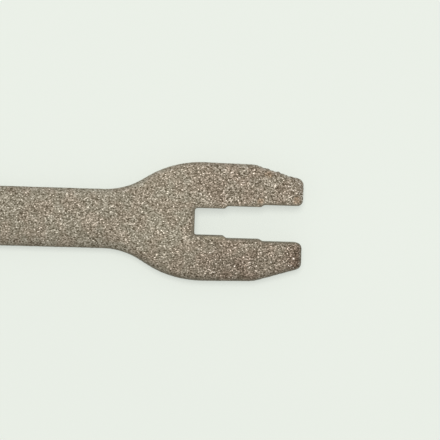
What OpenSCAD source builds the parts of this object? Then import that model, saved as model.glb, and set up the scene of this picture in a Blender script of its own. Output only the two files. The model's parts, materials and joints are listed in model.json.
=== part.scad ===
// Double-ended spoke wrench for wire wheels.
//
// One flat steel forging, the same all over. Each end is a fork with a stepped
// slot whose three pairs of parallel flats fit three sizes of square spoke nipple.
//
// The wrench lies flat. X runs along the handle to the large fork, Y across it,
// and Z is up. The origin is at the middle of the lower face.

/* [Body] */
// Length from the tips of one fork to the tips of the other
overall_len = 120; // [100:1:180]
// Width of the handle
handle_w = 11.1; // [9:0.1:12.5]
// Width of a head across its two cheeks
head_w = 22.3; // [21:0.1:28]
// Thickness of the whole wrench
thickness = 4; // [3.4:0.1:6]

/* [Head outline] */
// Radius of the hollow where the handle runs into the flare
neck_r = 13; // [8:0.5:16]
// Radius of the shoulder between the flare and the cheek
shoulder_r = 19; // [10:0.5:22]
// Angle of the flare to the handle, in degrees
flare_angle = 32; // [28:1:34]
// Length of the cheek, from the shoulder to the nose
cheek_len = 9.9; // [7:0.1:16]
// Angle at which the two cheeks draw together towards the tips, in degrees
cheek_taper = 0.8; // [0.4:0.1:2]
// Length of the sloping nose, from the cheek to the tips
nose_len = 9.1; // [7:0.1:11]
// Angle of the nose to the handle, in degrees
nose_angle = 16.3; // [12:0.1:20]
// Radius where the cheek turns into the nose
nose_r = 8; // [4:0.5:12]
// Radius of the outer corner of each tip
tip_r = 1.3; // [1.3:0.1:1.8]

/* [Large fork] */
// Width across the innermost flats
large_inner_w = 5.1; // [4.5:0.1:5.5]
// Width across the middle flats
large_middle_w = 6.1; // [5.7:0.1:6.3]
// Width across the flats at the mouth
large_mouth_w = 6.9; // [6.5:0.1:7.4]

/* [Small fork] */
// Width across the innermost flats
small_inner_w = 4.7; // [4.5:0.1:5.4]
// Width across the middle flats
small_middle_w = 5.7; // [5.5:0.1:6.1]
// Width across the flats at the mouth
small_mouth_w = 6.4; // [6.2:0.1:7.2]

/* [Slot] */
// Depth of the innermost flats, along the slot
inner_depth = 5.6; // [5:0.1:7]
// Depth of the middle flats, along the slot
middle_depth = 6.9; // [6:0.1:8]
// Depth of the flats at the mouth, along the slot
mouth_depth = 8; // [6:0.1:9]
// Length of the slope from one pair of flats to the next
step_run = 0.5; // [0.3:0.1:0.8]
// Radius of the two corners at the slot's floor
floor_r = 0.4; // [0.2:0.1:0.8]
// Radius of the two corners at the slot's mouth
mouth_r = 1.2; // [0.5:0.1:1.5]

/* [Edges] */
// How deep the rolled outer edges go, from a face down the side wall
roll_depth = 1.3; // [0.8:0.1:1.5]
// How far the roll reaches in over a face of the handle
handle_roll_w = 4; // [1.5:0.1:4]
// How far the roll reaches in over a face of a head
head_roll_w = 1.2; // [0.8:0.1:1.2]

/* [Hidden] */
$fn = 96;

// Steel that was blasted with coarse grit and never polished
steel_colour = [0.53, 0.49, 0.43];

// How far a cut runs past the metal it cuts
overrun = 1;

// Steps in which an outer edge is rolled, from the side wall round to the face
roll_steps = 6;
// Arcs of the outline are drawn in steps of at most this angle
arc_step = 6;

// The flare rises from the handle's edge to the cheek, and this much of the rise
// and of the run is straight. The two radii make up the rest.
flare_rise = (head_w - handle_w) / 2
    - neck_r * (1 - cos(flare_angle))
    - shoulder_r * (cos(cheek_taper) - cos(flare_angle));
flare_len = flare_rise / sin(flare_angle);

// The nose is measured to the point where the straight cheek and the straight
// nose would meet, and each of them gives up this much to the radius between.
nose_trim = nose_r * tan((nose_angle - cheek_taper) / 2);
tip_trim = tip_r * tan((90 - nose_angle) / 2);

// What the head takes of the length, and the handle that is left beside it
head_run = neck_r * sin(flare_angle)
    + flare_len * cos(flare_angle)
    + shoulder_r * (sin(flare_angle) + sin(cheek_taper))
    + cheek_len * cos(cheek_taper)
    + nose_len;
handle_half = overall_len / 2 - head_run;

// Half the height of the tips, where the nose would meet the flat end
tip_half = head_w / 2 - cheek_len * sin(cheek_taper) - nose_len * tan(nose_angle);

// A quarter of the outline, walked from the middle of the handle's edge to the
// middle of the flat end. Each stretch is a length or a radius, then the angle
// it turns through: left is positive and hollow, right is negative and round.
STRETCHES = [
    [handle_half, 0],
    [neck_r, flare_angle],
    [flare_len, 0],
    [shoulder_r, -flare_angle - cheek_taper],
    [cheek_len - nose_trim, 0],
    [nose_r, cheek_taper - nose_angle],
    [nose_len / cos(nose_angle) - nose_trim - tip_trim, 0],
    [tip_r, nose_angle - 90],
    [tip_half - tip_trim, 0]
];

// The way the walk heads where stretch i starts, in degrees from X
function heading(i) = i == 0 ? 0 : heading(i - 1) + STRETCHES[i - 1][1];

// A unit step to the left of heading h, which is away from the metal
function left(h) = [-sin(h), cos(h)];

// How far the walk goes along a stretch that starts on heading h, as a vector
function travel(size, turn, h) = turn == 0
    ? size * [cos(h), sin(h)]
    : sign(turn) * size * (left(h) - left(h + turn));

// Where stretch i starts
function start(i) = i == 0
    ? [0, handle_w / 2]
    : start(i - 1) + travel(STRETCHES[i - 1][0], STRETCHES[i - 1][1], heading(i - 1));

// The walk along a quarter of the outline, as a point and a heading each. Every
// stretch but the last gives its end, and an arc the points before that too.
WALK = [
    for (i = [0 : len(STRETCHES) - 2])
        let (
            size = STRETCHES[i][0],
            turn = STRETCHES[i][1],
            steps = max(1, ceil(abs(turn) / arc_step))
        )
        for (k = [1 : steps])
            [start(i) + travel(size, turn * k / steps, heading(i)), heading(i) + turn * k / steps]
];

// How much of the way from the handle's roll to the head's a point of the walk
// has gone. It starts where the neck does, and is there once the flare is reached.
function head_share(n) = n == 0 ? 0 : max(head_share(n - 1), min(1, WALK[n][1] / flare_angle));

// The points of a quarter of the outline, each drawn in by a share of its roll
function quarter(inset_share) = [
    for (n = [0 : len(WALK) - 1])
        let (reach = handle_roll_w + (head_roll_w - handle_roll_w) * head_share(n))
        WALK[n][0] - inset_share * reach * left(WALK[n][1])
];

// A list back to front
function reversed(list) = [for (i = [len(list) - 1 : -1 : 0]) list[i]];

// The whole outline, drawn in by a share of its roll and lifted to height z. It
// runs clockwise as seen from above.
function ring(inset_share, z) =
    let (
        large_left = quarter(inset_share),
        large_right = reversed([for (p = large_left) [p[0], -p[1]]]),
        large = concat(large_left, large_right),
        small = [for (p = large) [-p[0], -p[1]]]
    )
    [for (p = concat(large, small)) [p[0], p[1], z]];

// The flat face inside one ring, as strips across the wrench that join each
// point to its twin on the other side, and a strip for the handle between them
function flat_face(first, count) =
    let (
        half = count / 2,
        strips = [
            for (fork = [first, first + half])
                for (i = [0 : half / 2 - 2])
                    [fork + i, fork + i + 1, fork + half - 2 - i, fork + half - 1 - i]
        ]
    )
    concat(strips, [[first, first + half - 1, first + half, first + count - 1]]);

// The blank before its slots are cut: rings of the outline from the lower face
// up to the upper one, drawn in by the roll near each face
module blank() {
    lower = [
        for (k = [0 : roll_steps])
            let (angle = 90 * k / roll_steps)
            ring(1 - sin(angle), roll_depth * (1 - cos(angle)))
    ];
    upper = [for (one = reversed(lower)) [for (p = one) [p[0], p[1], thickness - p[2]]]];
    rings = concat(lower, upper);
    count = len(rings[0]);
    top_ring = (len(rings) - 1) * count;
    polyhedron(
        points = [for (one = rings) each one],
        faces = concat(
            [for (strip = flat_face(0, count)) reversed(strip)],
            [
                for (r = [0 : len(rings) - 2])
                    for (i = [0 : count - 1])
                        let (
                            a = r * count + i,
                            b = r * count + (i + 1) % count
                        )
                        each [[a, b, b + count], [a, b + count, a + count]]
            ],
            flat_face(top_ring, count)
        )
    );
}

// Half of one fork's slot, on the side where Y is positive
module half_slot(inner_w, middle_w, mouth_w) {
    tip = overall_len / 2;
    mouth = tip - mouth_depth;
    middle = mouth - middle_depth;
    floor_x = middle - inner_depth;
    difference() {
        polygon([
            [floor_x, 0],
            [floor_x, inner_w / 2],
            [middle, inner_w / 2],
            [middle + step_run, middle_w / 2],
            [mouth, middle_w / 2],
            [mouth + step_run, mouth_w / 2],
            [tip - mouth_r, mouth_w / 2],
            [tip, mouth_w / 2 + mouth_r],
            [tip + overrun, mouth_w / 2 + mouth_r],
            [tip + overrun, 0]
        ]);
        // The rounded corner at the slot's floor
        difference() {
            translate([floor_x, inner_w / 2 - floor_r]) square(floor_r);
            translate([floor_x + floor_r, inner_w / 2 - floor_r]) circle(floor_r);
        }
        // The rounded corner at the mouth
        translate([tip - mouth_r, mouth_w / 2 + mouth_r]) circle(mouth_r);
    }
}

// One fork's slot, through both faces
module slot(inner_w, middle_w, mouth_w) {
    translate([0, 0, -overrun])
        linear_extrude(thickness + 2 * overrun)
            for (lower = [0, 1])
                mirror([0, lower]) half_slot(inner_w, middle_w, mouth_w);
}

// The whole wrench, which is a single piece of steel
module wrench() {
    color(steel_colour)
        difference() {
            blank();
            slot(large_inner_w, large_middle_w, large_mouth_w);
            mirror([1, 0, 0]) slot(small_inner_w, small_middle_w, small_mouth_w);
        }
}

wrench();
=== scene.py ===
import json
import math

import bmesh
import bpy
from bpy.props import FloatProperty, FloatVectorProperty, PointerProperty
from bpy.types import Operator, Panel, PropertyGroup
from mathutils import Matrix, Vector, noise


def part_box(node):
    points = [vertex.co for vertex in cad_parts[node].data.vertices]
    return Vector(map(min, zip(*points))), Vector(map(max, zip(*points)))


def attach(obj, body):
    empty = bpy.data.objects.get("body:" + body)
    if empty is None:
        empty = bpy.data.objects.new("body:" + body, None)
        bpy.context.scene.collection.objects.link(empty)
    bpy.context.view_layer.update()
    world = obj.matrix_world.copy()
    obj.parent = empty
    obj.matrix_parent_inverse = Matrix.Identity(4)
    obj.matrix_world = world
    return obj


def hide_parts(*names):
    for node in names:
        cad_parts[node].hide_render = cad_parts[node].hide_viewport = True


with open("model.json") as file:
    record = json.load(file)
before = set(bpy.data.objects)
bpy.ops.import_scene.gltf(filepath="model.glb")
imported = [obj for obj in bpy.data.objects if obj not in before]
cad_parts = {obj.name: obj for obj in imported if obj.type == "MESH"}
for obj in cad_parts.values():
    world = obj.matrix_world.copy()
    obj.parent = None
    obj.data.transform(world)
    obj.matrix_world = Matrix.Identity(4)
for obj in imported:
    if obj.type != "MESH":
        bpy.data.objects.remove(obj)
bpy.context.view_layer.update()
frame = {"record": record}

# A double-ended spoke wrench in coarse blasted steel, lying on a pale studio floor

bl_info = {
    "name": "Spoke Wrench",
    "version": (1, 0, 0),
    "blender": (4, 5, 0),
    "location": "View3D > Sidebar > Spoke Wrench",
    "description": "Makes a flat spoke wrench in coarse blasted steel, and a pale studio round it",
    "category": "Add Mesh",
}

NODE = "wrench"
NODE_LOW, NODE_HIGH = (Vector(corner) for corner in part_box(NODE))
NODE_SIZE = NODE_HIGH - NODE_LOW

MM = 0.001
# Two points closer than this are one
MERGE_REACH = 0.001 * MM
# How many digits the panel shows after a length's point
SHOWN_DIGITS = 5
MOUNTS = {mount["name"]: Vector(mount["pos_m"]) for mount in frame["record"]["mounts"]}


def jaw(fork, pair):
    """Width across a pair of a fork's flats, in metres, from the mounts on them."""
    left, right = (MOUNTS[f"{fork}_{pair}_flat_{hand}"] for hand in ("left", "right"))
    return (left - right).length


def size(name, description, default):
    """A length that can be set, in metres."""
    return FloatProperty(
        name=name, description=description, default=default, min=0.0,
        unit="LENGTH", precision=SHOWN_DIGITS,
    )


def angle(name, description, degrees):
    """An angle that can be set, whose default is given in degrees."""
    return FloatProperty(
        name=name, description=description, default=math.radians(degrees), subtype="ANGLE"
    )


def share(name, description, default):
    """A number from 0 to 1 that can be set, with no unit."""
    return FloatProperty(name=name, description=description, default=default, min=0.0, max=1.0)


def colour(name, description, red, green, blue):
    """A linear colour that can be set."""
    return FloatVectorProperty(
        name=name, description=description, default=(red, green, blue), size=3,
        min=0.0, max=1.0, subtype="COLOR",
    )


class WrenchShape(PropertyGroup):
    """Sizes of the wrench."""

    length: size("Length", "From the tips of one fork to the tips of the other", NODE_SIZE.x)
    thickness: size("Thickness", "Through both broad faces", NODE_SIZE.z)
    head_width: size("Head width", "Across the two cheeks of a head", NODE_SIZE.y)
    handle_width: size("Handle width", "Across the handle", 11.1 * MM)
    neck_radius: size("Neck radius", "Hollow where the handle runs into the flare", 13 * MM)
    shoulder_radius: size("Shoulder radius", "Round between the flare and the cheek", 19 * MM)
    flare_angle: angle("Flare angle", "Slope of the flare to the handle", 32)
    cheek_length: size("Cheek length", "From the shoulder to the nose", 9.9 * MM)
    cheek_taper: angle("Cheek taper", "Slope of a cheek to the handle", 0.8)
    nose_length: size("Nose length", "From the cheek to the tips, along the handle", 9.1 * MM)
    nose_angle: angle("Nose angle", "Slope of the nose to the handle", 16.3)
    nose_radius: size("Nose radius", "Round between the cheek and the nose", 8 * MM)
    tip_radius: size("Tip radius", "Outer corner of each tip", 1.3 * MM)
    roll_depth: size("Roll depth", "How deep the rolled outer edge goes, from a face", 1.3 * MM)
    handle_roll: size("Handle roll", "How far the roll reaches in over the handle", 4 * MM)
    head_roll: size("Head roll", "How far the roll reaches in over a head", 1.2 * MM)
    inner_depth: size("Inner depth", "Length of the innermost flats", 5.6 * MM)
    middle_depth: size("Middle depth", "Length of the middle flats", 6.9 * MM)
    mouth_depth: size("Mouth depth", "Length of the flats at the mouth", 8 * MM)
    step_run: size("Step run", "Length of the slope between two pairs of flats", 0.5 * MM)
    floor_radius: size("Floor radius", "Corners at the slot's floor", 0.4 * MM)
    mouth_radius: size("Mouth radius", "Corners at the slot's mouth", 1.2 * MM)
    large_inner: size("Large inner jaw", "Width across its flats", jaw("large", "inner"))
    large_middle: size("Large middle jaw", "Width across its flats", jaw("large", "middle"))
    large_mouth: size("Large mouth jaw", "Width across its flats", jaw("large", "mouth"))
    small_inner: size("Small inner jaw", "Width across its flats", jaw("small", "inner"))
    small_middle: size("Small middle jaw", "Width across its flats", jaw("small", "middle"))
    small_mouth: size("Small mouth jaw", "Width across its flats", jaw("small", "mouth"))


class SteelFinish(PropertyGroup):
    """Grain and colours of the blasted steel."""

    pitch: size("Mesh pitch", "Size of the faces that carry the grain", 0.235 * MM)
    grain_size: size("Grain size", "Size of one grain of the surface", 0.235 * MM)
    grain_height: size("Grain height", "How far the grains stand out", 0.11 * MM)
    lump_size: size("Lump size", "Size of the skin's slow unevenness", 3.2 * MM)
    lump_height: size("Lump height", "How far the slow unevenness stands out", 0.04 * MM)
    bump_height: size("Bump height", "How far the finest grain seems to stand out", 0.14 * MM)
    bump_strength: share("Bump strength", "How strongly the finest grain shows", 0.75)
    metallic: share("Metallic", "How much the skin reflects as bare metal does", 0.55)
    warm_size: size("Warm patch size", "Size of the slightly warmer spots", 2.4 * MM)
    patch_size: size("Patch size", "Size of the patches in which the tints come and go", 7 * MM)
    blotch_size: size("Blotch size", "Size of the blotches on the cut flats", 0.9 * MM)
    streak_pitch: size("Streak pitch", "Width of the streaks that run down the cut flats", 0.22 * MM)
    fork_reach: size("Fork reach", "From the tips to where the fork tint ends", 25 * MM)
    fork_fade: size("Fork fade", "Length over which the fork tint fades", 10 * MM)
    palm_depth: size("Palm depth", "From the tips to the middle of the lighter palm", 26 * MM)
    palm_reach: size("Palm reach", "How far the lighter palm reaches to either side", 11 * MM)
    tip_reach: size("Tip reach", "How far the tip tint reaches in from the tips", 4.5 * MM)
    # Where the painted shade on the right side, away from the key light, begins and where it is full
    near_shade_start: size("Near tint start", "How far right of the middle the tint begins", 3 * MM)
    near_shade_full: size("Near tint full", "How far right of the middle the tint is full", 9 * MM)
    pit_colour: colour("Pits", "Colour deep between the grains", 0.077, 0.058, 0.032)
    ground_colour: colour("Ground", "Colour of most of the surface", 0.235, 0.207, 0.155)
    grain_colour: colour("Grains", "Colour on top of the grains", 0.446, 0.404, 0.336)
    # Painted highlight: the glints stand in for light caught by single grains
    painted_glint_colour: colour("Glints", "Colour of the grains that sparkle", 0.622, 0.572, 0.522)
    warm_tint: colour("Warm tint", "Tint of the slightly warmer spots", 1.000, 0.948, 0.938)
    far_tint: colour("Far tint", "Slight darkening away from the palms", 0.935, 0.930, 0.935)
    fork_tint: colour("Fork tint", "Slight warm tint of both forks", 0.980, 0.940, 0.930)
    # Painted shade: the right side, away from the key light, is darkened with a slightly warm tint
    near_shade_tint: colour("Near tint", "Tint of the darker right side", 0.755, 0.725, 0.710)
    tip_tint: colour("Tip tint", "Purple-brown tint near the tips", 0.735, 0.658, 0.626)
    rust_colour: colour("Rust", "Tan bloom in a few places", 0.330, 0.200, 0.110)
    # Painted shade: darker colour of the outer walls, strongest on the right away from the key light,
    # and of a slot's floor edge
    wall_shade_colour: colour("Walls", "Outer walls, and the edge at a slot's floor", 0.150, 0.128, 0.095)
    streak_colour: colour("Streaks", "Paler streaks on the cut flats", 0.268, 0.236, 0.178)
    jaw_colour: colour("Jaws", "Darker tone of the cut flats", 0.170, 0.141, 0.096)


class StudioSettings(PropertyGroup):
    """Floor, light and camera."""

    floor_colour: colour("Floor", "Colour of the floor", 0.820, 0.865, 0.805)
    floor_half: size("Floor half", "Half the width of the floor", 6000 * MM)
    floor_gap: size("Floor gap", "How far the floor lies below the wrench's lower face", 0.02 * MM)
    mottle_size: size("Mottle size", "Size of the floor's faint unevenness", 200 * MM)
    floor_glow: share("Floor glow", "How much of its own colour shows through its shadows", 0.62)
    key_height: angle("Key height", "How high the key light stands above the floor", 75)
    key_side: angle("Key side", "From straight behind the wrench towards its handle", 24)
    key_size: angle("Key size", "How wide the key light looks from the object", 26)
    key_level: share("Key level", "Share of a white floor's brightness that the key light gives", 0.56)
    key_colour: colour("Key colour", "Colour of the key light", 1.0, 0.985, 0.96)
    sky_level: share("Sky level", "Brightness of the light from all round", 0.46)
    sky_colour: colour("Sky colour", "Colour of the light from all round", 1.0, 1.0, 0.98)
    camera_distance: size("Camera distance", "From the lens to the middle of the thickness", 300 * MM)
    clip_start: size("Clip start", "Nearest place that the camera sees", 10 * MM)
    clip_end: size("Clip end", "Farthest place that the camera sees", 20000 * MM)


# How much of a surface's normal points up or down where a look begins to fade, and where it is gone:
# that of the walls, the rolled rims, the cut flats and the ragged nose
WALL_SLOPE_SHARES = (0.50, 0.88)
RIM_SLOPE_SHARES = (0.78, 0.985)
CUT_SLOPE_SHARES = (0.60, 0.97)
RAGGED_SLOPE_SHARES = (0.30, 0.80)
# How far the look of a cut flat reaches into the skin beside it, and where it ends
CUT_REACH = 0.12 * MM
CUT_END = 0.34 * MM
# How far the painted shade along a slot's floor reaches into the skin, and where it ends
EDGE_REACH = 0.42 * MM
EDGE_END = 0.78 * MM
# The dressed band beside the large fork's inner jaw: from the slot's floor to its start, its width
# and depth, the fade of its edges, and how far and how finely they waver
BARE_START = 1.6 * MM
BARE_WIDTH = 0.55 * MM
BARE_DEPTH = 0.12 * MM
BARE_FADE = 0.2 * MM
BARE_WOBBLE = 0.12 * MM
BARE_WOBBLE_SIZE = 0.5 * MM
# How much of the grain is missing on the cut flats, the dressed band and the upright walls
CUT_CALM_SHARE = 0.85
BARE_CALM_SHARE = 0.80
WALL_CALM_SHARE = 0.40
# The teeth of the ragged nose: their height and size, the slice of the noise that they come from,
# the length over which they fade, and how far they are drawn in, as a share of their height
RAGGED_HEIGHT = 0.28 * MM
RAGGED_SIZE = 0.85 * MM
RAGGED_SLICE = 8 * MM
RAGGED_FADE = 1.4 * MM
RAGGED_BITE_SHARE = 0.45
# The noise that they come from: how fast its finer layers fall off, how much finer each is,
# and how many there are
RAGGED_FALL = 0.9
RAGGED_STEP = 2.1
RAGGED_LAYERS = 2
# The grains are a little longer along the wrench than across it
SQUEEZE_SHARES = (0.94, 1.20, 1.0)
# How far the grain's noises are turned, so that none of their own rows runs along a face
GRAIN_TURNS = (math.radians(35), math.radians(25), math.radians(40))
# The modelled grains' size, as a share of the painted ones', how much of their height is the soft
# bed under them, and how far from its middle a grain stands out, as a share of its size
RELIEF_SIZE_SHARE = 1.75
BED_SHARE = 0.60
GRAIN_EDGE_SHARE = 0.40
# How far the remeshed skin is drawn smooth before its grain is laid on
SMOOTHING_SHARE = 0.5


def smoothstep(low, high, value):
    """0 below low, 1 above high, and a smooth rise between them."""
    t = min(1.0, max(0.0, (value - low) / (high - low)))
    return t * t * (3 - 2 * t)


def sign(value):
    """1 for a number above zero, -1 for one below, and 0 for zero."""
    return (value > 0) - (value < 0)


class OutlineWalk:
    """Draws an outline in a mesh by walking along it, in straight runs and arcs."""

    # An arc is drawn in steps of at most this angle
    ARC_STEP = math.radians(5)

    def __init__(self, mesh, x, y, height, heading=0.0):
        self.mesh = mesh
        self.end = mesh.verts.new((x, y, height))
        self.heading = heading
        self.steps = [(self.end, heading)]

    def side(self):
        """A unit step to the left of the way the walk heads."""
        return Vector((-math.sin(self.heading), math.cos(self.heading), 0))

    def straight(self, length):
        """Goes straight ahead."""
        ahead = Vector((math.cos(self.heading), math.sin(self.heading), 0))
        self.to(self.end.co + length * ahead)

    def to(self, place):
        """Goes straight to a place, and keeps the heading for what follows."""
        made = bmesh.ops.extrude_vert_indiv(self.mesh, verts=[self.end])
        self.end = made["verts"][0]
        self.end.co = place
        self.steps.append((self.end, self.heading))

    def turn(self, radius, by):
        """Goes along an arc. A positive angle turns to the left."""
        centre = self.end.co + math.copysign(radius, by) * self.side()
        count = max(1, math.ceil(abs(by) / self.ARC_STEP))
        start = self.heading
        for n in range(1, count + 1):
            made = bmesh.ops.spin(
                self.mesh, geom=[self.end], cent=centre, axis=(0, 0, 1), angle=by / count,
                steps=1, use_merge=False, use_duplicate=False,
            )
            self.end = next(part for part in made["geom_last"] if isinstance(part, bmesh.types.BMVert))
            self.heading = start + by * n / count
            self.steps.append((self.end, self.heading))


def mirrored(mesh, axis, height=0.0):
    """Mirrors the whole mesh across a plane and joins it there."""
    bmesh.ops.mirror(
        mesh, geom=mesh.verts[:] + mesh.edges[:] + mesh.faces[:],
        matrix=Matrix.Translation((0, 0, -height)), merge_dist=MERGE_REACH, axis=axis,
    )


def new_object(name, data):
    """Puts a new object into the scene."""
    made = bpy.data.objects.new(name, data)
    bpy.context.scene.collection.objects.link(made)
    return made


def object_from(mesh, name):
    """Puts a bmesh into a new object of the scene."""
    bmesh.ops.remove_doubles(mesh, verts=mesh.verts[:], dist=MERGE_REACH)
    bmesh.ops.recalc_face_normals(mesh, faces=mesh.faces[:])
    data = bpy.data.meshes.new(name)
    mesh.to_mesh(data)
    mesh.free()
    return new_object(name, data)


def blank_outline(shape, mesh):
    """Walks a quarter of the blank's outline, from the handle's middle to the middle of the tips.

    Returns the steps of the walk, each with how far the rolled edge reaches in there.
    """
    flare_rise = (
        (shape.head_width - shape.handle_width) / 2
        - shape.neck_radius * (1 - math.cos(shape.flare_angle))
        - shape.shoulder_radius * (math.cos(shape.cheek_taper) - math.cos(shape.flare_angle))
    )
    flare_length = flare_rise / math.sin(shape.flare_angle)
    nose_trim = shape.nose_radius * math.tan((shape.nose_angle - shape.cheek_taper) / 2)
    tip_trim = shape.tip_radius * math.tan((math.pi / 2 - shape.nose_angle) / 2)
    head_run = (
        shape.neck_radius * math.sin(shape.flare_angle)
        + flare_length * math.cos(shape.flare_angle)
        + shape.shoulder_radius * (math.sin(shape.flare_angle) + math.sin(shape.cheek_taper))
        + shape.cheek_length * math.cos(shape.cheek_taper)
        + shape.nose_length
    )
    walk = OutlineWalk(mesh, 0, shape.handle_width / 2, shape.thickness / 2)
    walk.straight(shape.length / 2 - head_run)
    walk.turn(shape.neck_radius, shape.flare_angle)
    neck_end = len(walk.steps)
    walk.straight(flare_length)
    walk.turn(shape.shoulder_radius, -shape.flare_angle - shape.cheek_taper)
    walk.straight(shape.cheek_length - nose_trim)
    walk.turn(shape.nose_radius, shape.cheek_taper - shape.nose_angle)
    walk.straight(shape.nose_length / math.cos(shape.nose_angle) - nose_trim - tip_trim)
    walk.turn(shape.tip_radius, shape.nose_angle - math.pi / 2)
    walk.to((shape.length / 2, 0, shape.thickness / 2))
    reaches = []
    for n, (vert, heading) in enumerate(walk.steps):
        gone = min(1.0, heading / shape.flare_angle) if n < neck_end else 1.0
        reach = shape.handle_roll + (shape.head_roll - shape.handle_roll) * gone
        reaches.append((vert, heading, reach))
    return reaches


# Steps in which a rolled edge turns from the wall to the face
ROLL_STEPS = 10


def wrench_blank(shape):
    """The forging before its slots are cut, with its outer edges rolled on both faces."""
    mesh = bmesh.new()
    inward = mesh.verts.layers.float_vector.new("inward")
    for vert, heading, reach in blank_outline(shape, mesh):
        vert[inward] = reach * Vector((math.sin(heading), -math.cos(heading), 0))
    mirrored(mesh, "Y")
    mirrored(mesh, "X")
    rim = mesh.edges[:]
    low_share = 0.0
    levels = [(0.0, shape.thickness / 2 - shape.roll_depth)]
    for n in range(1, ROLL_STEPS + 1):
        turn = math.pi / 2 * n / ROLL_STEPS
        high_share = 1 - math.cos(turn)
        rise = shape.roll_depth * (math.sin(turn) - math.sin(turn - math.pi / 2 / ROLL_STEPS))
        levels.append((high_share - low_share, rise))
        low_share = high_share
    for inset_share, rise in levels:
        made = bmesh.ops.extrude_edge_only(mesh, edges=rim)["geom"]
        rim = [part for part in made if isinstance(part, bmesh.types.BMEdge)]
        for vert in (part for part in made if isinstance(part, bmesh.types.BMVert)):
            # Every quarter holds the first one's step, so its signs follow the quarter's
            along, across, _ = vert[inward]
            step = Vector((along * sign(vert.co.x), across * sign(vert.co.y), 0))
            vert.co += inset_share * step + Vector((0, 0, rise))
    bmesh.ops.edgeloop_fill(mesh, edges=rim)
    mirrored(mesh, "Z", shape.thickness / 2)
    return object_from(mesh, "blank")


def slot_places(shape):
    """Where a slot's floor, its middle flats and the flats at its mouth start, along X."""
    mouth_x = shape.length / 2 - shape.mouth_depth
    middle_x = mouth_x - shape.middle_depth
    return middle_x - shape.inner_depth, middle_x, mouth_x


def slot_cutter(shape, jaws, side):
    """What a fork's stepped slot takes away.

    side is 1 for the fork towards +X, and -1 for the other.
    """
    overrun = shape.thickness / 2
    inner, middle, mouth = (width / 2 for width in jaws)
    tip = shape.length / 2
    floor_x, middle_x, mouth_x = slot_places(shape)
    mesh = bmesh.new()
    walk = OutlineWalk(mesh, floor_x, 0, -overrun, heading=math.pi / 2)
    walk.straight(inner - shape.floor_radius)
    walk.turn(shape.floor_radius, -math.pi / 2)
    for x, y in (
        (middle_x, inner),
        (middle_x + shape.step_run, middle),
        (mouth_x, middle),
        (mouth_x + shape.step_run, mouth),
        (tip - shape.mouth_radius, mouth),
    ):
        walk.to((x, y, -overrun))
    walk.turn(shape.mouth_radius, math.pi / 2)
    walk.to((tip + overrun, mouth + shape.mouth_radius, -overrun))
    walk.to((tip + overrun, 0, -overrun))
    mirrored(mesh, "Y")
    floor = bmesh.ops.edgeloop_fill(mesh, edges=mesh.edges[:])["faces"]
    made = bmesh.ops.extrude_face_region(mesh, geom=floor)["geom"]
    top = [part for part in made if isinstance(part, bmesh.types.BMVert)]
    bmesh.ops.translate(mesh, verts=top, vec=(0, 0, shape.thickness + 2 * overrun))
    if side < 0:
        bmesh.ops.scale(mesh, vec=(-1, 1, 1), verts=mesh.verts[:])
    return object_from(mesh, "cutter")


def finished_mesh(made, name):
    """A copy of an object's mesh with its modifiers applied."""
    graph = bpy.context.evaluated_depsgraph_get()
    data = bpy.data.meshes.new_from_object(made.evaluated_get(graph))
    data.name = name
    return data


def discard(*objects):
    """Removes helper objects and their meshes."""
    for one in objects:
        data = one.data
        bpy.data.objects.remove(one)
        bpy.data.meshes.remove(data)


class JawMap:
    """Says how far a place is from the cut walls of the stepped slots."""

    def __init__(self, shape):
        self.shape = shape
        self.floor_x, self.middle_x, self.mouth_x = slot_places(shape)
        self.jaws = {
            1: (shape.large_inner / 2, shape.large_middle / 2, shape.large_mouth / 2),
            -1: (shape.small_inner / 2, shape.small_middle / 2, shape.small_mouth / 2),
        }

    def half_width(self, x):
        """Half the slot's width at x."""
        inner, middle, mouth = self.jaws[1 if x > 0 else -1]
        run = self.shape.step_run
        x = abs(x)
        width = inner
        width += (middle - inner) * min(1.0, max(0.0, (x - self.middle_x) / run))
        width += (mouth - middle) * min(1.0, max(0.0, (x - self.mouth_x) / run))
        return width

    def distance(self, place):
        """How far into the metal a place is from the nearest cut wall, roughly."""
        behind = self.floor_x - abs(place.x)
        beside = abs(place.y) - self.half_width(place.x)
        if behind > 0 and beside > 0:
            return math.hypot(behind, beside)
        return max(behind, beside)


def wall_share(slope):
    """1 on the upright walls, and 0 on the two faces and the gentle start of the roll."""
    return 1 - smoothstep(*WALL_SLOPE_SHARES, slope)


def rim_share(slope):
    """1 on the steeper half of the rolled edges, and 0 on the two faces."""
    return 1 - smoothstep(*RIM_SLOPE_SHARES, slope)


def floor_edge_shade_share(jaws, place):
    """1 on the painted shade along a slot's floor, and 0 elsewhere."""
    beside = abs(place.y) - jaws.half_width(place.x)
    along = 1 - smoothstep(0.0, EDGE_END, beside)
    return along * (1 - smoothstep(EDGE_REACH, EDGE_END, jaws.distance(place)))


def cut_share(jaws, place, slope):
    """1 where a place lies on a cut flat, and 0 on the grainy skin."""
    beside = 1 - smoothstep(CUT_REACH, CUT_END, jaws.distance(place))
    upright = 1 - smoothstep(*CUT_SLOPE_SHARES, slope)
    return beside * upright


def bare_share(jaws, place):
    """1 where the upper edge of the large fork's inner jaw was dressed smooth, and 0 elsewhere."""
    if place.x < 0 or place.z < jaws.shape.thickness / 2:
        return 0.0
    depth = -place.y - jaws.half_width(place.x)
    wobble = BARE_WOBBLE * noise.noise(place / BARE_WOBBLE_SIZE)
    start = jaws.floor_x + BARE_START
    end = jaws.middle_x
    near_edge = smoothstep(-BARE_FADE, 0.0, depth)
    far_edge = 1 - smoothstep(BARE_WIDTH, BARE_WIDTH + BARE_FADE, depth + wobble)
    first = smoothstep(start - BARE_FADE, start, place.x + wobble)
    last = 1 - smoothstep(end, end + BARE_FADE, place.x)
    return near_edge * far_edge * first * last


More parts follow.
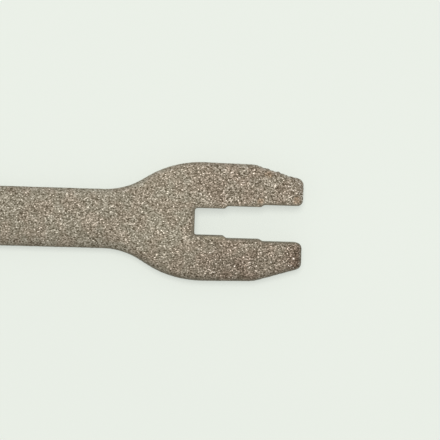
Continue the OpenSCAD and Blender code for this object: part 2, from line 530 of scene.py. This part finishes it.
def relief(place, finish):
    """How far the skin stands out from the forging's smooth shape, in metres."""
    at = place * Vector(SQUEEZE_SHARES) / (RELIEF_SIZE_SHARE * finish.grain_size)
    bed = noise.noise(at)
    grains = GRAIN_EDGE_SHARE - min(1.0, noise.voronoi(at)[0][0])
    lumps = noise.noise(place / finish.lump_size)
    return (
        finish.grain_height * (BED_SHARE * bed + (1 - BED_SHARE) * grains)
        + finish.lump_height * lumps
    )


def raggedness(place, shape):
    """How far the ragged edge of the large fork's left nose stands out, in metres."""
    start = shape.length / 2 - shape.nose_length
    end = shape.length / 2 - shape.tip_radius
    if place.y < 0 or place.x < start:
        return 0.0
    begun = smoothstep(start, start + RAGGED_FADE, place.x)
    ended = smoothstep(end - RAGGED_FADE, end, place.x)
    at = Vector((place.x, place.y, RAGGED_SLICE)) / RAGGED_SIZE
    teeth = noise.fractal(at, RAGGED_FALL, RAGGED_STEP, RAGGED_LAYERS)
    return RAGGED_HEIGHT * (begun - ended) * (teeth - RAGGED_BITE_SHARE)


def add_number_layer(data, name, values):
    """Stores one number for each vertex, for the material to read."""
    layer = data.attributes.new(name, "FLOAT", "POINT")
    layer.data.foreach_set("value", values)


class OBJECT_OT_spoke_wrench(Operator):
    """Make the wrench, with its rolled edges, stepped slots and grainy skin"""

    bl_idname = "object.spoke_wrench"
    bl_label = "Add Spoke Wrench"
    bl_options = {"REGISTER", "UNDO"}

    def execute(self, context):
        shape = context.scene.wrench_shape
        finish = context.scene.steel_finish
        blank = wrench_blank(shape)
        large = slot_cutter(shape, (shape.large_inner, shape.large_middle, shape.large_mouth), 1)
        small = slot_cutter(shape, (shape.small_inner, shape.small_middle, shape.small_mouth), -1)
        for cutter in (large, small):
            cut = blank.modifiers.new("slot", "BOOLEAN")
            cut.operation = "DIFFERENCE"
            cut.solver = "EXACT"
            cut.object = cutter
        skin = blank.modifiers.new("skin", "REMESH")
        skin.mode = "VOXEL"
        skin.voxel_size = finish.pitch
        data = finished_mesh(blank, "wrench_steel")
        discard(blank, large, small)
        if not data.polygons:
            raise RuntimeError("the wrench has no faces")

        jaws = JawMap(shape)
        mesh = bmesh.new()
        mesh.from_mesh(data)
        bmesh.ops.smooth_vert(
            mesh, verts=mesh.verts[:], factor=SMOOTHING_SHARE,
            use_axis_x=True, use_axis_y=True, use_axis_z=True,
        )
        mesh.normal_update()
        slopes = [abs(vert.normal.z) for vert in mesh.verts]
        shares = {
            "cut": [cut_share(jaws, vert.co, slope) for vert, slope in zip(mesh.verts, slopes)],
            "bare": [bare_share(jaws, vert.co) for vert in mesh.verts],
            "wall": [wall_share(slope) for slope in slopes],
            # Where painted shade is laid along a slot's floor
            "edge": [floor_edge_shade_share(jaws, vert.co) for vert in mesh.verts],
            "rim": [rim_share(slope) for slope in slopes],
        }
        moves = []
        for vert, slope, cut, bare, wall in zip(
            mesh.verts, slopes, shares["cut"], shares["bare"], shares["wall"]
        ):
            grainy = 1 - CUT_CALM_SHARE * cut
            grainy *= 1 - BARE_CALM_SHARE * bare
            grainy *= 1 - WALL_CALM_SHARE * wall
            upright = 1 - smoothstep(*RAGGED_SLOPE_SHARES, slope)
            out = grainy * relief(vert.co, finish)
            out -= BARE_DEPTH * bare
            out += raggedness(vert.co, shape) * (1 - cut) * upright
            moves.append(out * vert.normal)
        for vert, move in zip(mesh.verts, moves):
            vert.co += move
            vert.co.z = max(vert.co.z, NODE_LOW.z)
        for face in mesh.faces:
            face.smooth = True
        mesh.to_mesh(data)
        mesh.free()
        for name, values in shares.items():
            add_number_layer(data, name, values)
        data.materials.append(blasted_steel(finish, shape))

        wrench = new_object("wrench_steel", data)
        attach(wrench, "root")
        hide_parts(NODE)
        return {"FINISHED"}


class Socket:
    """A node's output that can be reckoned with like a number. Each sum adds its Math node."""

    def __init__(self, shader, output):
        self.shader = shader
        self.output = output

    def math(self, operation, *values):
        """The result of a Math node, whose sockets take the values in order."""
        return self.shader.node("ShaderNodeMath", {"operation": operation}, dict(enumerate(values)))

    def __add__(self, other):
        return self.math("ADD", self, other)

    def __radd__(self, other):
        return self.math("ADD", other, self)

    def __sub__(self, other):
        return self.math("SUBTRACT", self, other)

    def __rsub__(self, other):
        return self.math("SUBTRACT", other, self)

    def __mul__(self, other):
        return self.math("MULTIPLY", self, other)

    def __rmul__(self, other):
        return self.math("MULTIPLY", other, self)

    def larger(self, other):
        """The larger of two numbers."""
        return self.math("MAXIMUM", self, other)

    def size(self):
        """The number without its sign."""
        return self.math("ABSOLUTE", self)

    def between(self, low, high):
        """0 below low, 1 above high, and a smooth rise between them."""
        return self.shader.node(
            "ShaderNodeMapRange",
            {"interpolation_type": "SMOOTHSTEP"},
            {"Value": self, "From Min": low, "From Max": high},
        )


def opaque(value):
    """A colour with its alpha, or a socket as it is."""
    return value if isinstance(value, Socket) else (*value, 1.0)


# The sockets of a Mix node that mixes colours: its factor, its two colours and its result
MIX_FACTOR = 0
MIX_FIRST = 6
MIX_SECOND = 7
MIX_RESULT = 2


class Shader:
    """The node tree of a material or a world, built a node at a time."""

    def __init__(self, owner):
        self.owner = owner
        self.owner.use_nodes = True
        self.tree = self.owner.node_tree
        self.tree.nodes.clear()

    def add(self, kind, settings=None, inputs=None):
        """Adds a node: first its settings, then the values or links of its sockets."""
        made = self.tree.nodes.new(kind)
        for name, value in (settings or {}).items():
            setattr(made, name, value)
        for name, value in (inputs or {}).items():
            socket = made.inputs[name]
            if isinstance(value, Socket):
                self.tree.links.new(value.output, socket)
            else:
                socket.default_value = value
        return made

    def node(self, kind, settings=None, inputs=None, output=0):
        """Adds a node and gives one of its outputs."""
        return Socket(self, self.add(kind, settings, inputs).outputs[output])

    def mix(self, factor, first, second, blend="MIX"):
        """A colour between two others, or for the blend MULTIPLY one colour tinted by another."""
        return self.node(
            "ShaderNodeMix",
            {"data_type": "RGBA", "blend_type": blend},
            {MIX_FACTOR: factor, MIX_FIRST: opaque(first), MIX_SECOND: opaque(second)},
            output=MIX_RESULT,
        )

    def tint(self, factor, first, by):
        """A colour multiplied by another."""
        return self.mix(factor, first, by, "MULTIPLY")

    def blend(self, factor, first, second):
        """A surface between two others."""
        return self.node("ShaderNodeMixShader", {}, dict(enumerate((factor, first, second))))

    def soft_noise(self, place, feature, detail=0.0):
        """Soft noise whose features have the given size in metres."""
        inputs = {"Vector": place, "Scale": 1 / feature, "Detail": detail}
        return self.node("ShaderNodeTexNoise", {}, inputs, output="Fac")

    def attribute(self, name):
        """A number that the mesh holds for each vertex."""
        return self.node("ShaderNodeAttribute", {"attribute_name": name}, output="Fac")

    def showing(self):
        """1 for the rays that show the background: straight, reflected, and through glass."""
        path = self.add("ShaderNodeLightPath")
        straight = Socket(self, path.outputs["Is Camera Ray"])
        reflected = Socket(self, path.outputs["Is Glossy Ray"])
        through = Socket(self, path.outputs["Is Transmission Ray"])
        return straight.larger(reflected).larger(through)

    def finish(self, surface, output="ShaderNodeOutputMaterial"):
        """Joins a surface to the output, and gives the material or the world."""
        self.add(output, inputs={"Surface": surface})
        return self.owner


# What makes the tone of a spot: the fine noise and its grain's own chance
MIDDLE_TONE = 0.5
FINE_SHARE = 0.85
CHANCE_SHARE = 0.41
# The fine noise's size, as a share of the grain's
FINE_SIZE_SHARE = 1.3
# How strong the tone is everywhere, and how much is added on the forks and at the tips
CONTRAST_SHARE = 0.84
FORK_CONTRAST_SHARE = 0.15
TIP_CONTRAST_SHARE = 0.33
# Painted light: how much lighter the tone is along the rolled edges on the left, which face the key
# light
LIT_RIM_TONE = 0.09
# Tones between which one look gives way to the next: pits, ground, grains, painted glints, and
# glossier grains
PIT_TONE_SHARES = (0.22, 0.50)
GRAIN_TONE_SHARES = (0.46, 0.76)
PAINTED_GLINT_TONE_SHARES = (0.77, 0.98)
GLOSS_TONE_SHARES = (0.62, 0.80)
# Roughness of the dull skin, and how much of it the glossiest grains lack
DULL_ROUGHNESS = 0.62
GLOSS_SHARE = 0.30
# What makes the bump: the fine noise and the rounded grains on the skin, the streaks on the cut
# flats, and how much of the skin's bump those flats lack
FINE_BUMP_SHARE = 0.7
GRAIN_BUMP_SHARE = 0.5
STREAK_BUMP_SHARE = 0.5
CUT_BUMP_CALM_SHARE = 0.9
# Tones of the noise between which a spot turns warmer, and that noise's detail
WARM_TONE_SHARES = (0.38, 0.62)
WARM_DETAIL = 0.5
# How the tints come and go from patch to patch: between which tones of the noise, from what share
# of the tint and by how much, and the noise's detail
PATCH_TONE_SHARES = (0.30, 0.70)
PATCH_LOW_SHARE = 0.75
PATCH_RISE_SHARE = 0.50
PATCH_DETAIL = 2.0
# How much of the near side's painted shade the handle and palms have, and how much of the tip tint
# the left tips have
HANDLE_NEAR_SHADE_SHARE = 0.80
LEFT_TIP_SHARE = 0.36
# How much painted shade the right outer walls, the left ones that face the key light, and the edge
# at a slot's floor have, and how much of its own colour the rust has
RIGHT_WALL_SHADE_SHARE = 0.65
LIT_WALL_SHADE_SHARE = 0.10
EDGE_SHARE = 0.90
RUST_SHARE = 0.40
# How much of a bloom's reach is its core, and between which tones of the fine noise it takes hold
RUST_CORE_SHARE = 0.30
RUST_TONE_SHARES = (0.30, 0.55)
# Small blooms of rust on the large fork: how far in from the tips each lies, how far to the left,
# and how far it reaches
RUST_BLOOMS = (
    (6.8 * MM, 9.3 * MM, 1.1 * MM),
    (1.3 * MM, 4.5 * MM, 1.2 * MM),
    (8.2 * MM, 4.1 * MM, 0.9 * MM),
)
# The streaks on the cut flats hardly change on their way down, and mix with blotches. Between the
# last two tones the paler colour takes over.
STREAK_SQUEEZE_SHARES = (1.0, 1.0, 0.05)
STREAK_DETAIL = 2.0
STREAK_SHARE = 0.60
BLOTCH_DETAIL = 3.0
CUT_TONE_SHARES = (0.35, 0.65)


def blasted_steel(finish, shape):
    """Coarse-grained brown-grey steel with bright grains, pits, smoother cut flats, and painted
    glints, light and shade.
    """
    shader = Shader(bpy.data.materials.new("blasted_steel"))
    place = shader.node("ShaderNodeTexCoord", output="Object")
    x = shader.node("ShaderNodeSeparateXYZ", inputs={"Vector": place}, output="X")
    y = shader.node("ShaderNodeSeparateXYZ", inputs={"Vector": place}, output="Y")
    from_tips = shape.length / 2 - x.size()
    fork = 1 - from_tips.between(finish.fork_reach - finish.fork_fade, finish.fork_reach)
    palm = 1 - (from_tips - finish.palm_depth).size().between(0, finish.palm_reach)
    tips = 1 - from_tips.between(0, finish.tip_reach)
    near = 1 - y.between(-finish.near_shade_full, -finish.near_shade_start)

    squeezed = shader.node(
        "ShaderNodeMapping", {}, {"Vector": place, "Scale": SQUEEZE_SHARES, "Rotation": GRAIN_TURNS}
    )
    cells = {"Vector": squeezed, "Scale": 1 / finish.grain_size}
    hollow = shader.node("ShaderNodeTexVoronoi", {}, cells, output="Distance")
    chance_colour = shader.node("ShaderNodeTexVoronoi", {}, cells, output="Color")
    chance = shader.node("ShaderNodeSeparateColor", inputs={"Color": chance_colour}, output="Red")
    fine = shader.soft_noise(squeezed, FINE_SIZE_SHARE * finish.grain_size)
    tone = (fine - MIDDLE_TONE) * FINE_SHARE
    tone += (chance - MIDDLE_TONE) * CHANCE_SHARE
    tone *= CONTRAST_SHARE + fork * FORK_CONTRAST_SHARE + tips * TIP_CONTRAST_SHARE
    tone += MIDDLE_TONE
    # The left side faces the key light: its rolled rims get painted light, and its walls less painted
    # shade
    left = y.between(0, shape.handle_width / 2)
    tone += shader.attribute("rim") * left * LIT_RIM_TONE

    skin = shader.mix(tone.between(*PIT_TONE_SHARES), finish.pit_colour, finish.ground_colour)
    skin = shader.mix(tone.between(*GRAIN_TONE_SHARES), skin, finish.grain_colour)
    patches = shader.soft_noise(place, finish.patch_size, PATCH_DETAIL).between(*PATCH_TONE_SHARES)
    patchy = PATCH_LOW_SHARE + patches * PATCH_RISE_SHARE
    near_shade_factor = (HANDLE_NEAR_SHADE_SHARE + fork * (1 - HANDLE_NEAR_SHADE_SHARE)) * near * patchy
    tip_factor = tips * (LEFT_TIP_SHARE + near * (1 - LEFT_TIP_SHARE)) * patchy
    warm = shader.soft_noise(place, finish.warm_size, WARM_DETAIL).between(*WARM_TONE_SHARES)
    skin = shader.tint(warm, skin, finish.warm_tint)
    skin = shader.tint(1 - palm, skin, finish.far_tint)
    skin = shader.tint(fork * patchy, skin, finish.fork_tint)
    # Painted shade on the right side, away from the key light
    skin = shader.tint(near_shade_factor, skin, finish.near_shade_tint)
    skin = shader.tint(tip_factor, skin, finish.tip_tint)
    # Painted highlights: the brightest tones take the glint colour
    skin = shader.mix(tone.between(*PAINTED_GLINT_TONE_SHARES), skin, finish.painted_glint_colour)
    for inward, leftward, reach in RUST_BLOOMS:
        away = shader.node(
            "ShaderNodeVectorMath",
            {"operation": "DISTANCE"},
            {0: place, 1: (shape.length / 2 - inward, leftward, shape.thickness)},
            output="Value",
        )
        bloom = (1 - away.between(RUST_CORE_SHARE * reach, reach)) * fine.between(*RUST_TONE_SHARES)
        skin = shader.mix(bloom * RUST_SHARE, skin, finish.rust_colour)
    # Painted shade on the walls, lighter on the left where the key light falls, and along a slot's
    # floor
    wall_shade_factor = RIGHT_WALL_SHADE_SHARE + left * (LIT_WALL_SHADE_SHARE - RIGHT_WALL_SHADE_SHARE)
    skin = shader.mix(shader.attribute("wall") * wall_shade_factor, skin, finish.wall_shade_colour)
    skin = shader.mix(shader.attribute("edge") * EDGE_SHARE, skin, finish.wall_shade_colour)

    drawn_down = shader.node(
        "ShaderNodeMapping", {}, {"Vector": place, "Scale": STREAK_SQUEEZE_SHARES}
    )
    streaks = shader.soft_noise(drawn_down, finish.streak_pitch, STREAK_DETAIL)
    blotches = shader.soft_noise(place, finish.blotch_size, BLOTCH_DETAIL)
    cut_tone = streaks * STREAK_SHARE + blotches * (1 - STREAK_SHARE)
    flats = shader.mix(cut_tone.between(*CUT_TONE_SHARES), finish.jaw_colour, finish.streak_colour)
    smooth = shader.attribute("cut").larger(shader.attribute("bare"))

    height = fine * FINE_BUMP_SHARE + (1 - hollow) * GRAIN_BUMP_SHARE
    height = height * (1 - smooth * CUT_BUMP_CALM_SHARE) + streaks * smooth * STREAK_BUMP_SHARE
    bump = shader.node(
        "ShaderNodeBump",
        {},
        {"Strength": finish.bump_strength, "Distance": finish.bump_height, "Height": height},
    )
    steel = shader.node(
        "ShaderNodeBsdfPrincipled",
        {},
        {
            "Base Color": shader.mix(smooth, skin, flats),
            "Metallic": finish.metallic,
            "Roughness": DULL_ROUGHNESS - tone.between(*GLOSS_TONE_SHARES) * GLOSS_SHARE,
            "Normal": bump,
        },
    )
    return shader.finish(steel)


# The floor's faint mottle: its tones and detail, and the brightness of its darker patches
MOTTLE_TONE_SHARES = (0.40, 0.60)
MOTTLE_DETAIL = 1.0
MOTTLE_SHARE = 0.985
# How dull the floor is
FLOOR_ROUGHNESS = 0.85
# The strength at which a colour shows as it is written
PLAIN = 1.0


def pale_floor(studio):
    """A plain pale floor, whose shadows let some of its own colour through."""
    shader = Shader(bpy.data.materials.new("pale_floor"))
    place = shader.node("ShaderNodeTexCoord", output="Object")
    mottle = shader.soft_noise(place, studio.mottle_size, MOTTLE_DETAIL)
    darker = [MOTTLE_SHARE * part for part in studio.floor_colour]
    surface = shader.mix(mottle.between(*MOTTLE_TONE_SHARES), studio.floor_colour, darker)
    matt = shader.node(
        "ShaderNodeBsdfPrincipled", {}, {"Base Color": surface, "Roughness": FLOOR_ROUGHNESS}
    )
    glow = shader.node("ShaderNodeEmission", {}, {"Color": surface, "Strength": PLAIN})
    return shader.finish(shader.blend(shader.showing() * studio.floor_glow, matt, glow))


def studio_sky(studio):
    """Even light from all round, which shows as the floor's own colour."""
    shader = Shader(bpy.data.worlds.new("studio_sky"))
    light = shader.node(
        "ShaderNodeBackground", {}, {"Color": opaque(studio.sky_colour), "Strength": studio.sky_level}
    )
    shown = shader.node(
        "ShaderNodeBackground", {}, {"Color": opaque(studio.floor_colour), "Strength": PLAIN}
    )
    return shader.finish(shader.blend(shader.showing(), light, shown), "ShaderNodeOutputWorld")


def aim(thing, place, target, up):
    """Puts a thing at a place, looking down its own -Z at the target with its +Y towards up."""
    back = (place - target).normalized()
    right = up.cross(back).normalized()
    turn = Matrix((right, back.cross(right), back)).transposed()
    thing.matrix_world = Matrix.Translation(place) @ turn.to_4x4()


# The photograph's frame and scale, and where the middle of the large fork's tips lies in it
FRAME_PIXELS = 440
PIXELS_PER_MM = 5.3
TIP_PIXEL_X = 302.5
TIP_PIXEL_Y = 224.5
# How far the wrench slopes in the picture, and how far the camera leans out to the picture's left
# and to its top
AXIS_SLOPE = math.radians(1.84)
TILT_LEFT = math.radians(5)
TILT_TOP = math.radians(2)
# Width of the camera's sensor, in Blender's own millimetres
SENSOR = 36.0


def add_camera(studio, shape):
    """A camera almost straight above the large fork, as the photograph was taken."""
    right = Vector((math.cos(AXIS_SLOPE), math.sin(AXIS_SLOPE), 0))
    up = Vector((-math.sin(AXIS_SLOPE), math.cos(AXIS_SLOPE), 0))
    pixel = MM / PIXELS_PER_MM
    middle = FRAME_PIXELS / 2
    tip = Vector((shape.length / 2, 0, shape.thickness / 2))
    target = tip + pixel * ((middle - TIP_PIXEL_X) * right + (TIP_PIXEL_Y - middle) * up)
    back = Vector((-math.sin(TILT_LEFT), math.sin(TILT_TOP), 1)).normalized()
    data = bpy.data.cameras.new("camera")
    data.sensor_width = SENSOR
    data.lens = SENSOR * studio.camera_distance / (FRAME_PIXELS * pixel)
    data.clip_start = studio.clip_start
    data.clip_end = studio.clip_end
    camera = new_object("camera", data)
    aim(camera, target + studio.camera_distance * back, target, up)
    bpy.context.scene.camera = camera


def add_key_light(studio):
    """A soft, sun-like lamp, high up behind the wrench and a little towards its handle."""
    data = bpy.data.lights.new("key", "SUN")
    data.angle = studio.key_size
    data.energy = studio.key_level * math.pi / math.sin(studio.key_height)
    data.color = studio.key_colour
    lamp = new_object("key", data)
    up = Vector((0, 0, 1))
    flat = Vector((-math.sin(studio.key_side), math.cos(studio.key_side), 0))
    place = math.cos(studio.key_height) * flat + math.sin(studio.key_height) * up
    aim(lamp, place, Vector((0, 0, 0)), up)


def add_floor(studio):
    """A wide flat floor."""
    mesh = bmesh.new()
    bmesh.ops.create_grid(mesh, x_segments=1, y_segments=1, size=studio.floor_half)
    bmesh.ops.translate(mesh, verts=mesh.verts[:], vec=(0, 0, -studio.floor_gap))
    floor = object_from(mesh, "floor")
    floor.data.materials.append(pale_floor(studio))


class SCENE_OT_wrench_studio(Operator):
    """Make the pale floor, the soft light and the camera"""

    bl_idname = "scene.wrench_studio"
    bl_label = "Add Studio"
    bl_options = {"REGISTER", "UNDO"}

    def execute(self, context):
        studio = context.scene.wrench_studio
        add_floor(studio)
        add_key_light(studio)
        add_camera(studio, context.scene.wrench_shape)
        context.scene.world = studio_sky(studio)
        context.scene.view_settings.view_transform = "Standard"
        return {"FINISHED"}


class VIEW3D_PT_spoke_wrench(Panel):
    """Sizes, finish and studio of the spoke wrench"""

    bl_idname = "VIEW3D_PT_spoke_wrench"
    bl_label = "Spoke Wrench"
    bl_space_type = "VIEW_3D"
    bl_region_type = "UI"
    bl_category = "Spoke Wrench"

    def draw(self, context):
        for group, heading in (
            (context.scene.wrench_shape, "Sizes"),
            (context.scene.steel_finish, "Finish"),
            (context.scene.wrench_studio, "Studio"),
        ):
            box = self.layout.box()
            box.label(text=heading)
            for name in group.__annotations__:
                box.prop(group, name)
        self.layout.operator(OBJECT_OT_spoke_wrench.bl_idname)
        self.layout.operator(SCENE_OT_wrench_studio.bl_idname)


GROUPS = {
    "wrench_shape": WrenchShape,
    "steel_finish": SteelFinish,
    "wrench_studio": StudioSettings,
}
CLASSES = (*GROUPS.values(), OBJECT_OT_spoke_wrench, SCENE_OT_wrench_studio, VIEW3D_PT_spoke_wrench)


def register():
    """Makes the classes and the scene's settings known to Blender."""
    for one in CLASSES:
        bpy.utils.register_class(one)
    for name, group in GROUPS.items():
        setattr(bpy.types.Scene, name, PointerProperty(type=group))


def unregister():
    """Takes the settings and the classes away again."""
    for name in GROUPS:
        delattr(bpy.types.Scene, name)
    for one in reversed(CLASSES):
        bpy.utils.unregister_class(one)


def main():
    """Makes the wrench and its studio."""
    register()
    bpy.ops.object.spoke_wrench()
    bpy.ops.scene.wrench_studio()


if __name__ == "__main__":
    main()
